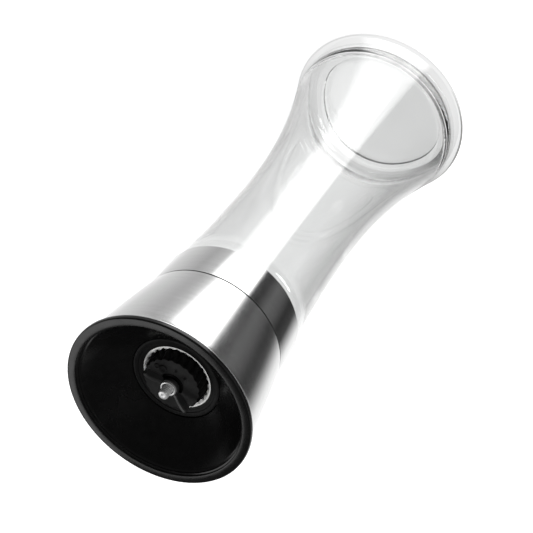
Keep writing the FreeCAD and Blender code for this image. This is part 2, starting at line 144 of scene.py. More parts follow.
# Bearings in degrees with the tone of the card there: first what the steel mirrors, then what shows
# through the wall of the glass, through its foot and through its base.
CARD_TONES = [(-180, 1.3), (-122, 1.1), (-108, 0.6), (-92, 0.06), (-72, 0.03), (-56, 0.11), (-40, 0.15),
              (-24, 0.04), (-11, 0.02), (-6, 3.0), (38, 3.0), (50, 0.7), (72, 0.5), (100, 0.72), (124, 0.85),
              (150, 1.1)]
GLASS_TONES = [(-180, 1.0), (-170, 0.97), (-158, 0.84), (-138, 0.5), (-110, 0.45), (-60, 0.8), (0, 0.88),
               (60, 0.82), (110, 0.66), (138, 0.62), (158, 0.9), (170, 0.97)]
FOOT_TONES = [(-180, 0.8), (-125, 0.7), (-105, 0.45), (-92, 0.1), (-50, 0.08), (-28, 0.3), (-5, 0.55),
              (15, 0.64), (60, 0.7), (120, 0.76)]
BASE_TONES = [(-180, 0.95), (0, 0.9)]
CARD_RADIUS = 3.0
MIRRORED_FROM = 0.042
FOOT_EDGE = 0.0345
BASE_EDGE = 0.0295
MIRRORED_HEIGHT = 0.0006
SEEN_HEIGHT = 0.0003
card_ring = ring_of_card("card_ring", MIRRORED_FROM, CARD_RADIUS, MIRRORED_HEIGHT, CARD_TONES)
card_ring.visible_transmission = False
ring_of_card("glass_card", FOOT_EDGE, CARD_RADIUS, SEEN_HEIGHT, GLASS_TONES)
ring_of_card("foot_card", BASE_EDGE, FOOT_EDGE, SEEN_HEIGHT, FOOT_TONES)
ring_of_card("base_card", PINHOLE, BASE_EDGE, SEEN_HEIGHT, BASE_TONES)

SOFTBOX_CORNERS = [(0.0, 0.95, 0.75), (0.85, 0.95, 0.75), (0.85, 0.75, 1.45), (0.0, 0.75, 1.45)]
softbox_mesh = bpy.data.meshes.new("softbox")
softbox_mesh.from_pydata(SOFTBOX_CORNERS, [], [(3, 2, 1, 0)])
softbox = add_object("softbox", softbox_mesh)
softbox_mesh.materials.append(glow("softbox_cloth", strength=1.6)[0])
softbox.visible_camera = False


def area_lamp(name, place, target, side, power):
    """A square soft lamp at a place, pointed at a target."""
    data = bpy.data.lights.new(name, "AREA")
    data.size = side
    data.energy = power
    lamp = bpy.data.objects.new(name, data)
    scene.collection.objects.link(lamp)
    lamp.location = place
    lamp.rotation_euler = (Vector(target) - Vector(place)).to_track_quat("-Z", "Y").to_euler()
    return lamp


key_lamp = area_lamp("key_lamp", (-0.5, -0.35, 1.1), (0, 0, mill_height), side=0.5, power=9)
key_lamp.visible_glossy = False

world = bpy.data.worlds.new("studio")
scene.world = world
world.use_nodes = True
sky = world.node_tree.nodes
sky_place = sky.new("ShaderNodeTexCoord")
sky_split = sky.new("ShaderNodeSeparateXYZ")
sky_tones = sky.new("ShaderNodeValToRGB")
world.node_tree.links.new(sky_place.outputs["Generated"], sky_split.inputs["Vector"])
world.node_tree.links.new(sky_split.outputs["Z"], sky_tones.inputs["Fac"])
world.node_tree.links.new(sky_tones.outputs["Color"], sky["Background"].inputs["Color"])
SKY_TONES = [(0.06, 1), (0.2, 0.07)]
for element, (rise, tone) in zip(sky_tones.color_ramp.elements, SKY_TONES):
    element.position = rise
    element.color = (tone, tone, tone, 1)

# --- Camera --------------------------------------------------------------------------------------
# It looks down on the mill from in front and is rolled, so that the mill lies across the frame with
# its mouth towards the viewer.
CAMERA_DISTANCE = 0.6977
CAMERA_TILT = math.radians(46.12)
CAMERA_ROLL = math.radians(142.67)
LENS_LENGTH = 135.1
SENSOR_WIDTH = 36
AIM_ASIDE = -1.33
AIM_SHARE = 0.5762
camera_data = bpy.data.cameras.new("camera")
camera_data.lens = LENS_LENGTH
camera_data.sensor_width = SENSOR_WIDTH
camera_data.clip_start = 0.01
camera = bpy.data.objects.new("camera", camera_data)
scene.collection.objects.link(camera)
look = Vector((0, math.cos(CAMERA_TILT), -math.sin(CAMERA_TILT)))
aim = Vector((AIM_ASIDE * MM, 0, mill_height * AIM_SHARE))
camera.location = aim - look * CAMERA_DISTANCE
camera.rotation_mode = "QUATERNION"
camera.rotation_quaternion = look.to_track_quat("-Z", "Y") @ Quaternion((0, 0, 1), -CAMERA_ROLL)
scene.camera = camera

# --- Glass jar -----------------------------------------------------------------------------------
# The jar is blown soda glass: an hourglass wall over a thick rounded foot, with a neck that carries
# one ridge of screw thread. Its section is mostly long arcs, and a Geometry Nodes tree turns it.
SEAM = 1e-6
LUMP_SCALE = 1100.0
LUMP_DETAIL = 2.0
LONGEST_TRIM = 0.45
NOISE_LOW, NOISE_HIGH = 0.3, 0.7


def flow(tree, kind, *values, operation=None, **settings):
    """A node with its inputs linked or set in order, and its first output."""
    node = tree.nodes.new(kind)
    if operation:
        node.operation = operation
    for setting, value in settings.items():
        setattr(node, setting, value)
    for number, value in enumerate(values):
        if isinstance(value, bpy.types.NodeSocket):
            tree.links.new(value, node.inputs[number])
        elif value is not None:
            node.inputs[number].default_value = value
    return node.outputs[0]


def maths(tree, operation, *values):
    """One step of arithmetic on numbers or sockets."""
    return flow(tree, "ShaderNodeMath", *values, operation=operation)


def new_tree(name, sizes):
    """An empty tree with a start mesh, named sizes and a material as its inputs."""
    tree = bpy.data.node_groups.new(name, "GeometryNodeTree")
    tree.interface.new_socket("Start", in_out="INPUT", socket_type="NodeSocketGeometry")
    for size, kind, usual in sizes:
        socket = tree.interface.new_socket(size, in_out="INPUT", socket_type="NodeSocket" + kind)
        socket.default_value = usual
    tree.interface.new_socket("Material", in_out="INPUT", socket_type="NodeSocketMaterial")
    tree.interface.new_socket("Mesh", in_out="OUTPUT", socket_type="NodeSocketGeometry")
    return tree, tree.nodes.new("NodeGroupInput").outputs


def close_tree(tree, given, grid, place):
    """Move a grid's points into place, join its seams, and finish the tree."""
    moved = flow(tree, "GeometryNodeSetPosition", grid, None, place)
    merged = flow(tree, "GeometryNodeMergeByDistance", moved, None, SEAM)
    real = flow(tree, "GeometryNodeRealizeInstances", merged)
    done = flow(tree, "GeometryNodeSetMaterial", real, None, given["Material"])
    tree.links.new(done, tree.nodes.new("NodeGroupOutput").inputs["Mesh"])


def polar_place(tree, radius, turn, height):
    """The point at a radius, a share of a turn and a height."""
    angle = maths(tree, "MULTIPLY", turn, 2 * math.pi)
    return flow(tree, "ShaderNodeCombineXYZ", maths(tree, "MULTIPLY", radius, maths(tree, "COSINE", angle)),
                maths(tree, "MULTIPLY", radius, maths(tree, "SINE", angle)), height)


def grid_of(tree, rows, columns):
    """A grid of cells, with each point's row and column."""
    line = flow(tree, "FunctionNodeIntegerMath", columns, 1, operation="ADD")
    rings = flow(tree, "FunctionNodeIntegerMath", rows, 1, operation="ADD")
    grid = flow(tree, "GeometryNodeMeshGrid", 1.0, 1.0, rings, line)
    index = flow(tree, "GeometryNodeInputIndex")
    row = flow(tree, "FunctionNodeIntegerMath", index, line, operation="DIVIDE_FLOOR")
    column = flow(tree, "FunctionNodeIntegerMath", index, line, operation="MODULO")
    return grid, row, column


# A closed section turned round the axis. Points marked with a depth of cut get notches: "Teeth" round
# the axis, each "Share" of its pitch wide and leaning by "Lean" turns a metre, so that one leaning
# tooth is a screw thread.
turning_tree, given = new_tree("turned_section", [
    ("Steps", "Int", 192), ("Teeth", "Int", 1), ("Share", "Float", 1.0), ("Lean", "Float", 0.0),
    ("Rounded", "Float", 0.0), ("Rough", "Float", 0.0)])
tree = turning_tree
count = flow(tree, "GeometryNodeAttributeDomainSize", given["Start"])
grid, row, column = grid_of(tree, count, given["Steps"])
corner = flow(tree, "FunctionNodeIntegerMath", row, count, operation="MODULO")
spot = flow(tree, "GeometryNodeSampleIndex", given["Start"], flow(tree, "GeometryNodeInputPosition"), corner,
            data_type="FLOAT_VECTOR")
cut = flow(tree, "GeometryNodeSampleIndex", given["Start"],
           flow(tree, "GeometryNodeInputNamedAttribute", "cut", data_type="FLOAT"), corner, data_type="FLOAT")
parts = tree.nodes.new("ShaderNodeSeparateXYZ")
tree.links.new(spot, parts.inputs[0])
turn = maths(tree, "DIVIDE", column, given["Steps"])
phase = maths(tree, "FRACT", maths(tree, "ADD", maths(tree, "MULTIPLY", turn, given["Teeth"]),
                                   maths(tree, "MULTIPLY", parts.outputs["Z"], given["Lean"])))
offset = maths(tree, "ABSOLUTE", maths(tree, "SUBTRACT", phase, 0.5))
linear = maths(tree, "MAXIMUM", 0.0, maths(tree, "SUBTRACT", 1.0, maths(
    tree, "DIVIDE", maths(tree, "MULTIPLY", offset, 2.0), given["Share"])))
rounded = flow(tree, "ShaderNodeMapRange", linear, interpolation_type="SMOOTHSTEP")
notch = flow(tree, "ShaderNodeMix", given["Rounded"], None, linear, rounded)
lump = flow(tree, "ShaderNodeTexNoise", polar_place(tree, parts.outputs["X"], turn, parts.outputs["Z"]), None,
            LUMP_SCALE, LUMP_DETAIL)
jag = maths(tree, "ADD", 1.0, maths(tree, "MULTIPLY", given["Rough"], maths(tree, "SUBTRACT", lump, 0.5)))
depth = maths(tree, "MULTIPLY", cut, maths(tree, "MULTIPLY", notch, jag))
close_tree(tree, given, grid, polar_place(tree, maths(tree, "SUBTRACT", parts.outputs["X"], depth), turn,
                                          parts.outputs["Z"]))


def grown(name, tree, start, material, **sizes):
    """A plain mesh grown by a tree from a start mesh, with its named sizes set."""
    carrier = bpy.data.objects.new(name + "_start", start)
    scene.collection.objects.link(carrier)
    modifier = carrier.modifiers.new(name, "NODES")
    modifier.node_group = tree
    sockets = {item.name: item.identifier for item in tree.interface.items_tree if item.in_out == "INPUT"}
    for size, value in sizes.items():
        modifier[sockets[size.replace("_", " ")]] = value
    modifier[sockets["Material"]] = material
    mesh = bpy.data.meshes.new_from_object(carrier.evaluated_get(bpy.context.evaluated_depsgraph_get()))
    bpy.data.objects.remove(carrier)
    work = bmesh.new()
    work.from_mesh(mesh)
    bmesh.ops.delete(work, geom=[edge for edge in work.edges if not edge.link_faces], context="EDGES")
    bmesh.ops.recalc_face_normals(work, faces=work.faces)
    work.to_mesh(mesh)
    work.free()
    mesh.name = name
    return mesh


def turned(name, section, material, **sizes):
    """A closed section of (radius, height, depth of cut) points in millimetres, turned round the axis."""
    start = bpy.data.meshes.new(name + "_section")
    start.from_pydata([(point[0] * MM, 0, point[1] * MM) for point in section], [], [])
    cuts = start.attributes.new("cut", "FLOAT", "POINT")
    cuts.data.foreach_set("value", [point[2] * MM if len(point) > 2 else 0.0 for point in section])
    return grown(name, turning_tree, start, material, **sizes)


def bow(start, end, radius, steps):
    """Points after start up to end on an arc. A positive radius has its centre left of the way there."""
    start, end = Vector(start), Vector(end)
    run = end - start
    left = Vector((-run.y, run.x)).normalized()
    reach = math.sqrt(max(radius * radius - run.length_squared / 4, 0))
    centre = (start + end) / 2 + left * math.copysign(reach, radius)
    first = math.atan2(start.y - centre.y, start.x - centre.x)
    last = math.atan2(end.y - centre.y, end.x - centre.x)
    swing = (last - first + math.pi) % (2 * math.pi) - math.pi
    spots = [first + swing * step / steps for step in range(1, steps + 1)]
    return [(centre.x + abs(radius) * math.cos(spot), centre.y + abs(radius) * math.sin(spot))
            for spot in spots]


def softened(corners, steps=4):
    """Corners (radius, height, rounding) with each one rounded by its third value."""
    points = []
    for number, corner in enumerate(corners):
        here = Vector(corner[:2])
        if len(corner) < 3:
            points.append(tuple(here))
            continue
        before = Vector(corners[number - 1][:2]) - here
        after = Vector(corners[(number + 1) % len(corners)][:2]) - here
        trim = min(corner[2] / math.tan(before.angle(after) / 2), LONGEST_TRIM * before.length,
                   LONGEST_TRIM * after.length)
        start = here + before.normalized() * trim
        end = here + after.normalized() * trim
        for step in range(steps + 1):
            part = step / steps
            points.append(tuple(start * (1 - part) ** 2 + here * 2 * part * (1 - part) + end * part ** 2))
    return points


def joined(name, *meshes):
    """Several meshes as one."""
    work = bmesh.new()
    for mesh in meshes:
        work.from_mesh(mesh)
    whole = bpy.data.meshes.new(name)
    work.to_mesh(whole)
    work.free()
    return whole


def fitted(name, mesh, material, body, slot, *nodes, sharp=35):
    """An object of a finished mesh with its material, riding on a body in place of CAD nodes."""
    mesh.materials.clear()
    mesh.materials.append(material)
    mesh.shade_smooth()
    mesh.set_sharp_from_angle(angle=math.radians(sharp))
    piece = add_object(name, mesh)
    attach(piece, body)
    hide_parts(*nodes)
    return piece


def new_finish(name):
    """A new material, its Principled shader and its node tree."""
    material = bpy.data.materials.new(name)
    material.use_nodes = True
    return material, material.node_tree.nodes["Principled BSDF"], material.node_tree


def grain(tree, scale, detail=3.0, stretch=(1, 1, 1)):
    """Noise in the piece's own space, stretched along its axes."""
    place = tree.nodes.new("ShaderNodeTexCoord")
    mapping = tree.nodes.new("ShaderNodeMapping")
    mapping.inputs["Scale"].default_value = stretch
    tree.links.new(place.outputs["Object"], mapping.inputs["Vector"])
    return flow(tree, "ShaderNodeTexNoise", mapping.outputs["Vector"], None, scale, detail)


def between(tree, source, low, high):
    """A noise value spread between two values."""
    return flow(tree, "ShaderNodeMapRange", source, NOISE_LOW, NOISE_HIGH, low, high)


def tinted(tree, shader, source, dark, light):
    """Base colour between two greys."""
    tones = tree.nodes.new("ShaderNodeValToRGB")
    for element, place, tone in zip(tones.color_ramp.elements, (NOISE_LOW, NOISE_HIGH), (dark, light)):
        element.position = place
        element.color = (*tone, 1)
    tree.links.new(source, tones.inputs["Fac"])
    tree.links.new(tones.outputs["Color"], shader.inputs["Base Color"])


def relief(tree, shader, source, depth):
    """Bump from a value, its depth in metres."""
    node = tree.nodes.new("ShaderNodeBump")
    node.inputs["Distance"].default_value = depth
    tree.links.new(source, node.inputs["Height"])
    tree.links.new(node.outputs["Normal"], shader.inputs["Normal"])


glass, shader, tree = new_finish("clear_glass")
shader.inputs["Base Color"].default_value = (0.95, 0.955, 0.953, 1)
shader.inputs["Transmission Weight"].default_value = 1
shader.inputs["IOR"].default_value = 1.5
shader.inputs["Coat Weight"].default_value = 0.8
shader.inputs["Coat IOR"].default_value = 1.7
shader.inputs["Coat Roughness"].default_value = 0.01
tree.links.new(between(tree, grain(tree, 60), 0.0, 0.03), shader.inputs["Roughness"])
relief(tree, shader, grain(tree, 28, detail=1.0, stretch=(1, 1, 0.35)), 0.00012)

jar_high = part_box("glass_jar")[1]
foot_radius = jar_high.x / MM
neck_top = jar_high.z / MM
NEAR_AXIS = 0.01
FOOT_ROUND = 4.0
RECESS_TOP = 1.6
RECESS_EDGE = (24.0, 0.9)
WAIST = (22.35, 80.0)
SHOULDER = (25.0, 136.6)
NECK_ROOT = 137.2
NECK_RADIUS = 20.0
NECK_ROUND = 0.8
NECK_BORE = 16.5
WALL = 2.6
BASE_TOP = 7.0
BASE_DISH = 0.4
BASE_RADIUS = 24.0
INSIDE_FOOT = (29.0, BASE_TOP + 5)
INSIDE_WAIST = (WAIST[0] - WALL, WAIST[1])
INSIDE_SHOULDER = (21.4, 127.5)
THROAT_FOOT = (NECK_BORE + 2.6, 133.6)
THROAT_LOW = (NECK_BORE, NECK_ROOT + 1.5)
LOWER_CURVE = 252.0
UPPER_CURVE = 600.0
RECESS_CURVE = 420
BASE_CURVE = 500
THREAD_LEAD = 4.0
THREAD_DEPTH = 1.2
THREAD_SHARE = 0.45
RING_STEP = 0.25
NECK_RIDGE = (140.2, 146.9)


def ridge_share(height, ridge):
    """How much of the thread's depth stands at a height, fading out at both ends of its ridge."""
    return max(0, min(1, height - ridge[0], ridge[1] - height))


neck_steps = [NECK_ROOT + 0.9 + RING_STEP * step for step in range(43)]
neck_line = [(NECK_RADIUS, height, -THREAD_DEPTH * ridge_share(height, NECK_RIDGE)) for height in neck_steps]
jar_section = [(0, RECESS_TOP)]
jar_section += bow((NEAR_AXIS, RECESS_TOP), RECESS_EDGE, -RECESS_CURVE, 10)
jar_section += [(RECESS_EDGE[0] + 0.7, 0.5), (RECESS_EDGE[0] + 1.2, 0.1), (RECESS_EDGE[0] + 1.8, 0)]
jar_section += [(foot_radius - FOOT_ROUND, 0)]
jar_section += bow((foot_radius - FOOT_ROUND, 0), (foot_radius, FOOT_ROUND), FOOT_ROUND, 14)
jar_section += bow((foot_radius, FOOT_ROUND), WAIST, -LOWER_CURVE, 48)
jar_section += bow(WAIST, SHOULDER, -UPPER_CURVE, 30)
jar_section += bow(SHOULDER, (SHOULDER[0] - 0.6, NECK_ROOT), 0.65, 4)
jar_section += bow((NECK_RADIUS + NECK_ROUND, NECK_ROOT), (NECK_RADIUS, NECK_ROOT + NECK_ROUND),
                   -NECK_ROUND, 4)
jar_section += neck_line
jar_section += bow((NECK_RADIUS, neck_top - NECK_ROUND), (NECK_RADIUS - NECK_ROUND, neck_top), NECK_ROUND, 4)
jar_section += [(NECK_BORE + 0.5, neck_top), (NECK_BORE, neck_top - 0.5), THROAT_LOW]
jar_section += bow(THROAT_LOW, THROAT_FOOT, 8, 8)
jar_section += bow(THROAT_FOOT, INSIDE_SHOULDER, -9, 8)
jar_section += bow(INSIDE_SHOULDER, INSIDE_WAIST, UPPER_CURVE + WALL, 26)
jar_section += bow(INSIDE_WAIST, INSIDE_FOOT, LOWER_CURVE + WALL, 44)
jar_section += bow(INSIDE_FOOT, (BASE_RADIUS, BASE_TOP), -5.2, 12)
jar_section += bow((BASE_RADIUS, BASE_TOP), (NEAR_AXIS, BASE_TOP - BASE_DISH), -BASE_CURVE, 10)[:-1]
jar_section += [(0, BASE_TOP - BASE_DISH)]
jar_mesh = turned("jar_glass", jar_section, glass, Share=THREAD_SHARE, Lean=-1 / (THREAD_LEAD * MM),
                  Rounded=1.0)
fitted("jar_glass", jar_mesh, glass, "jar", "clear_glass", "glass_jar")

# --- Neck gasket ---------------------------------------------------------------------------------
# A soft grey silicone ring between the jar's neck and the carrier's floor, with a flat bead round the
# inner edge of its lower face.
silicone, shader, tree = new_finish("silicone")
shader.inputs["Roughness"].default_value = 0.55
shader.inputs["Subsurface Weight"].default_value = 0.25
shader.inputs["Subsurface Radius"].default_value = (0.002, 0.002, 0.002)
tinted(tree, shader, grain(tree, 300), (0.42, 0.42, 0.43), (0.55, 0.55, 0.56))
relief(tree, shader, grain(tree, 1500, detail=2.0), 0.00001)
gasket_low, gasket_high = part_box("neck_gasket")
gasket_outer = gasket_high.x / MM
gasket_bottom, gasket_top = gasket_low.z / MM, gasket_high.z / MM
BEAD_WIDTH = 1.2
BEAD_SLOPE = 0.4
BEAD_RISE = 0.15
bead_end = NECK_BORE + BEAD_WIDTH
gasket_section = softened([
    (NECK_BORE, gasket_bottom, 0.3), (bead_end, gasket_bottom, 0.2),
    (bead_end + BEAD_SLOPE, gasket_bottom + BEAD_RISE, 0.2), (gasket_outer, gasket_bottom + BEAD_RISE, 0.3),
    (gasket_outer, gasket_top, 0.3), (NECK_BORE, gasket_top, 0.3)])
gasket_mesh = turned("gasket_silicone", gasket_section, silicone, Steps=96)
fitted("gasket_silicone", gasket_mesh, silicone, "seal", "silicone", "neck_gasket")

# --- Neck carrier --------------------------------------------------------------------------------
# The black moulded cup that screws down on the jar. Its ridge of thread is moulded inside, and its
# spigot with the clip groove is the axle of the grinding head.


def moulded(name, tone, rough_low, rough_high, peel, gloss=0.5):
    """Black moulded plastic with a fine texture and faint dust marks in its gloss."""
    material, shader, tree = new_finish(name)
    shader.inputs["IOR"].default_value = 1.5
    shader.inputs["Specular IOR Level"].default_value = gloss
    tinted(tree, shader, grain(tree, 420, detail=5.0), (tone * 0.8,) * 3, (tone * 1.2,) * 3)
    dust = between(tree, grain(tree, 180, detail=4.0), rough_low, rough_high)
    tree.links.new(dust, shader.inputs["Roughness"])
    relief(tree, shader, grain(tree, 2600, detail=2.0), peel)
    return material


satin_black = moulded("satin_black", 0.02, 0.3, 0.42, 0.000012)
CARRIER_BORE = 21.6
CARRIER_CEILING = 150.9
CARRIER_FLOOR = 152.4
SPIGOT_RADIUS = 19.4
SPIGOT_BORE = 17.0
GROOVE_RADIUS = 18.6
GROOVE_LOW, GROOVE_HIGH = 155.8, 157.0
GUIDE_BORE = 14.4
GUIDE_OUTER = 16.1
GUIDE_LOW = 147.6
CUP_THREAD_TOP = 147.5
CUP_RIDGE = (138.2, 145.2)
carrier_low, carrier_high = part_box("neck_carrier")
carrier_outer = carrier_high.x / MM
carrier_bottom, carrier_top = carrier_low.z / MM, carrier_high.z / MM
cup_steps = [CUP_THREAD_TOP - RING_STEP * step for step in range(36)]
cup_line = [(CARRIER_BORE, height, THREAD_DEPTH * ridge_share(height, CUP_RIDGE)) for height in cup_steps]
carrier_section = softened([
    (CARRIER_BORE, carrier_bottom, 0.3), (carrier_outer - 0.6, carrier_bottom, 0.2),
    (carrier_outer, CARRIER_FLOOR, 0.2), (SPIGOT_RADIUS, CARRIER_FLOOR), (SPIGOT_RADIUS, GROOVE_LOW),
    (GROOVE_RADIUS, GROOVE_LOW), (GROOVE_RADIUS, GROOVE_HIGH), (SPIGOT_RADIUS, GROOVE_HIGH),
    (SPIGOT_RADIUS, carrier_top, 0.4), (SPIGOT_BORE, carrier_top, 0.3), (SPIGOT_BORE, CARRIER_FLOOR),
    (GUIDE_BORE, CARRIER_FLOOR, 0.2), (GUIDE_BORE, GUIDE_LOW, 0.2), (GUIDE_OUTER, GUIDE_LOW, 0.4),
    (GUIDE_OUTER, CARRIER_CEILING), (CARRIER_BORE, CARRIER_CEILING)]) + cup_line
carrier_mesh = turned("carrier_black", carrier_section, satin_black, Share=THREAD_SHARE,
                      Lean=-1 / (THREAD_LEAD * MM), Rounded=1.0)
fitted("carrier_black", carrier_mesh, satin_black, "neck", "black_plastic", "neck_carrier")

# --- Collar sleeve -------------------------------------------------------------------------------
# A thin stainless sleeve pressed round the carrier, polished finer than the skirt, with its edges
# broken.


def brushed(name, roughness, line_depth, tone, lines_per_metre):
    """Steel brushed round the axis: hairlines that run round, in tone, roughness and relief."""
    material, shader, tree = new_finish(name)
    shader.inputs["Metallic"].default_value = 1
    shader.inputs["Anisotropic"].default_value = 0.5
    lines = grain(tree, 1.0, detail=4.0, stretch=(30, 30, lines_per_metre))
    smears = grain(tree, 45, detail=3.0)
    mixed = maths(tree, "ADD", maths(tree, "MULTIPLY", lines, 0.75), maths(tree, "MULTIPLY", smears, 0.25))
    tree.links.new(between(tree, mixed, roughness * 0.85, roughness * 1.2), shader.inputs["Roughness"])
    tinted(tree, shader, lines, (tone * 0.93,) * 3, (tone,) * 3)
    tangent = tree.nodes.new("ShaderNodeTangent")
    tangent.direction_type = "RADIAL"
    tangent.axis = "Z"
    tree.links.new(tangent.outputs["Tangent"], shader.inputs["Tangent"])
    relief(tree, shader, lines, line_depth)
    return material


collar_steel = brushed("collar_steel", 0.12, 0.0000025, 0.72, 6500)
collar_low, collar_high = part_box("collar_sleeve")
collar_radius = collar_high.x / MM
COLLAR_NARROWING = 0.6
COLLAR_WALL = 0.5
COLLAR_DROP = 0.08
collar_bottom = collar_low.z / MM
collar_top = collar_high.z / MM - COLLAR_DROP
collar_section = softened([
    (collar_radius - COLLAR_NARROWING - COLLAR_WALL, collar_bottom, 0.08),
    (collar_radius - COLLAR_NARROWING, collar_bottom, 0.18),
    (collar_radius, collar_top, 0.07), (collar_radius - COLLAR_WALL, collar_top, 0.07)])
collar_mesh = turned("collar_steel", collar_section, collar_steel)
fitted("collar_steel", collar_mesh, collar_steel, "neck", "brushed_steel", "collar_sleeve", sharp=50)

# --- Thrust washer and clips ---------------------------------------------------------------------
# The head turns on a dark slippery washer, and a spring steel clip in the spigot's groove keeps it
# from lifting. The spindle's own clip is of the same steel.


def dressed(node, material):
    """A CAD node that keeps its shape and gets a finish."""
    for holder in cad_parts[node].material_slots:
        holder.material = material


slippery, shader, tree = new_finish("slippery_plastic")
shader.inputs["IOR"].default_value = 1.48
tinted(tree, shader, grain(tree, 500), (0.05, 0.05, 0.05), (0.08, 0.08, 0.08))
scuffs = grain(tree, 1.0, detail=3.0, stretch=(60, 60, 2500))
tree.links.new(between(tree, scuffs, 0.4, 0.6), shader.inputs["Roughness"])
relief(tree, shader, grain(tree, 1800, detail=2.0), 0.000006)
dressed("thrust_washer", slippery)


def drawn(name, tone, roughness, scale):
    """Plain steel with fine marks from drawing or stamping."""
    material, shader, tree = new_finish(name)
    shader.inputs["Metallic"].default_value = 1
    marks = grain(tree, scale, detail=5.0, stretch=(1, 1, 3))
    tinted(tree, shader, marks, (tone * 0.82,) * 3, (tone,) * 3)
    tree.links.new(between(tree, marks, roughness * 0.7, roughness * 1.4), shader.inputs["Roughness"])
    relief(tree, shader, marks, 0.000006)
    return material


spring_steel = drawn("spring_steel", 0.5, 0.32, 900)
dressed("swivel_clip", spring_steel)
dressed("spindle_clip", spring_steel)

# --- Drive bridge --------------------------------------------------------------------------------
# Three arms of black moulding hold the square-holed hub that carries the spindle, and pepper falls
# between them.
dressed("drive_bridge", satin_black)

# --- Spindle -------------------------------------------------------------------------------------
# Bright turned steel: a flange under the bridge, a square shank that drives the rotor, and a threaded
# end that stands out of the wing nut. The shank's edges are bevelled, and its thread is turned.


def square_bar(name, side, low, high, edge):
    """A square bar along the axis with bevelled edges, in millimetres."""
    work = bmesh.new()
    half = side / 2 * MM
    corners = [(-half, -half), (half, -half), (half, half), (-half, half)]
    rings = [[work.verts.new((across, up, height * MM)) for across, up in corners] for height in (low, high)]
    work.faces.new(reversed(rings[0]))
    work.faces.new(rings[1])
    for number in range(4):
        after = (number + 1) % 4
        work.faces.new((rings[0][number], rings[0][after], rings[1][after], rings[1][number]))
    bmesh.ops.bevel(work, geom=list(work.edges), offset=edge * MM, segments=3, affect="EDGES")
    mesh = bpy.data.meshes.new(name)
    work.to_mesh(mesh)
    work.free()
    return mesh


def machined(name, tone, roughness):
    """Bright plated steel with fine turning marks round the axis, a little milky."""
    material, shader, tree = new_finish(name)
    shader.inputs["Metallic"].default_value = 0.65
    marks = grain(tree, 1.0, detail=4.0, stretch=(120, 120, 9000))
    tinted(tree, shader, marks, (tone * 0.88,) * 3, (tone,) * 3)
    tree.links.new(between(tree, marks, roughness * 0.7, roughness * 1.5), shader.inputs["Roughness"])
    relief(tree, shader, marks, 0.000003)
    return material


bright_steel = machined("bright_steel", 0.8, 0.24)
spindle_low, spindle_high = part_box("spindle")
spindle_bottom, spindle_top = spindle_low.z / MM, spindle_high.z / MM
FLANGE_RADIUS = 4.4
FLANGE_TOP = 151.0
CORE_RADIUS = 2.1
SHANK_SIDE = 5.0
SHANK_EDGE = 0.25
SHANK_TOP = 174.2
CLIP_LOW, CLIP_HIGH = 155.5, 156.1
THREAD_RADIUS = 1.75
SPINDLE_PITCH = 0.7
SPINDLE_THREAD_DEPTH = 0.36
STUB_STEP = 0.1
stub_steps = [SHANK_TOP + 0.3 + STUB_STEP * step
              for step in range(round((spindle_top - SHANK_TOP - 0.8) / STUB_STEP))]
stub_line = [(THREAD_RADIUS, height, SPINDLE_THREAD_DEPTH) for height in stub_steps]
core_section = [(0, spindle_bottom)] + softened([
    (0, spindle_bottom), (FLANGE_RADIUS, spindle_bottom, 0.4), (FLANGE_RADIUS, FLANGE_TOP, 0.2),
    (CORE_RADIUS, FLANGE_TOP)])[1:]
core_section += [(CORE_RADIUS, SHANK_TOP), (THREAD_RADIUS - 0.1, SHANK_TOP + 0.1)] + stub_line
core_section += bow((THREAD_RADIUS - 0.02, spindle_top - 0.3), (THREAD_RADIUS - 0.3, spindle_top), 0.4, 4)
core_section += [(0.5, spindle_top), (0, spindle_top - 0.12)]
spindle_mesh = joined("spindle_steel", turned("spindle_core", core_section, bright_steel, Steps=72,
                                              Lean=-1 / (SPINDLE_PITCH * MM), Rounded=0.4),
                      square_bar("shank_low", SHANK_SIDE, FLANGE_TOP + 0.05, CLIP_LOW, SHANK_EDGE),
                      square_bar("shank_high", SHANK_SIDE, CLIP_HIGH, SHANK_TOP, SHANK_EDGE))
fitted("spindle_steel", spindle_mesh, bright_steel, "neck", "bright_steel", "spindle")

# --- Spring, its seat and its cap ----------------------------------------------------------------
# A coil of drawn wire stands on a washer on the spindle's clip and pushes the rotor up through a
# plastic cap. A Geometry Nodes tree winds it, with its end turns closed.
END_TAPER = 60.0
winding_tree, given = new_tree("wound_wire", [
    ("Radius", "Float", 0.005), ("Bottom", "Float", 0.0), ("Top", "Float", 0.01), ("Turns", "Float", 5.0),
    ("Wire", "Float", 0.0005), ("Closed Ends", "Float", 1.0), ("Along", "Int", 240), ("Sides", "Int", 12)])
tree = winding_tree
grid, row, column = grid_of(tree, given["Along"], given["Sides"])
share = maths(tree, "DIVIDE", row, given["Along"])
eased = flow(tree, "ShaderNodeMapRange", share, interpolation_type="SMOOTHSTEP")
climb = flow(tree, "ShaderNodeMix", given["Closed Ends"], None, share, eased)
middle = flow(tree, "ShaderNodeMapRange", climb, 0.0, 1.0, given["Bottom"], given["Top"])
ends = maths(tree, "MINIMUM", 1.0, maths(tree, "MULTIPLY", END_TAPER, maths(
    tree, "MINIMUM", share, maths(tree, "SUBTRACT", 1.0, share))))
wire_round = maths(tree, "MULTIPLY", maths(tree, "DIVIDE", column, given["Sides"]), 2 * math.pi)
thick = maths(tree, "MULTIPLY", given["Wire"], maths(tree, "SQRT", ends))
outward = maths(tree, "MULTIPLY", thick, maths(tree, "COSINE", wire_round))
upward = maths(tree, "MULTIPLY", thick, maths(tree, "SINE", wire_round))
close_tree(tree, given, grid, polar_place(tree, maths(tree, "ADD", given["Radius"], outward),
                                          maths(tree, "MULTIPLY", share, given["Turns"]),
                                          maths(tree, "ADD", middle, upward)))

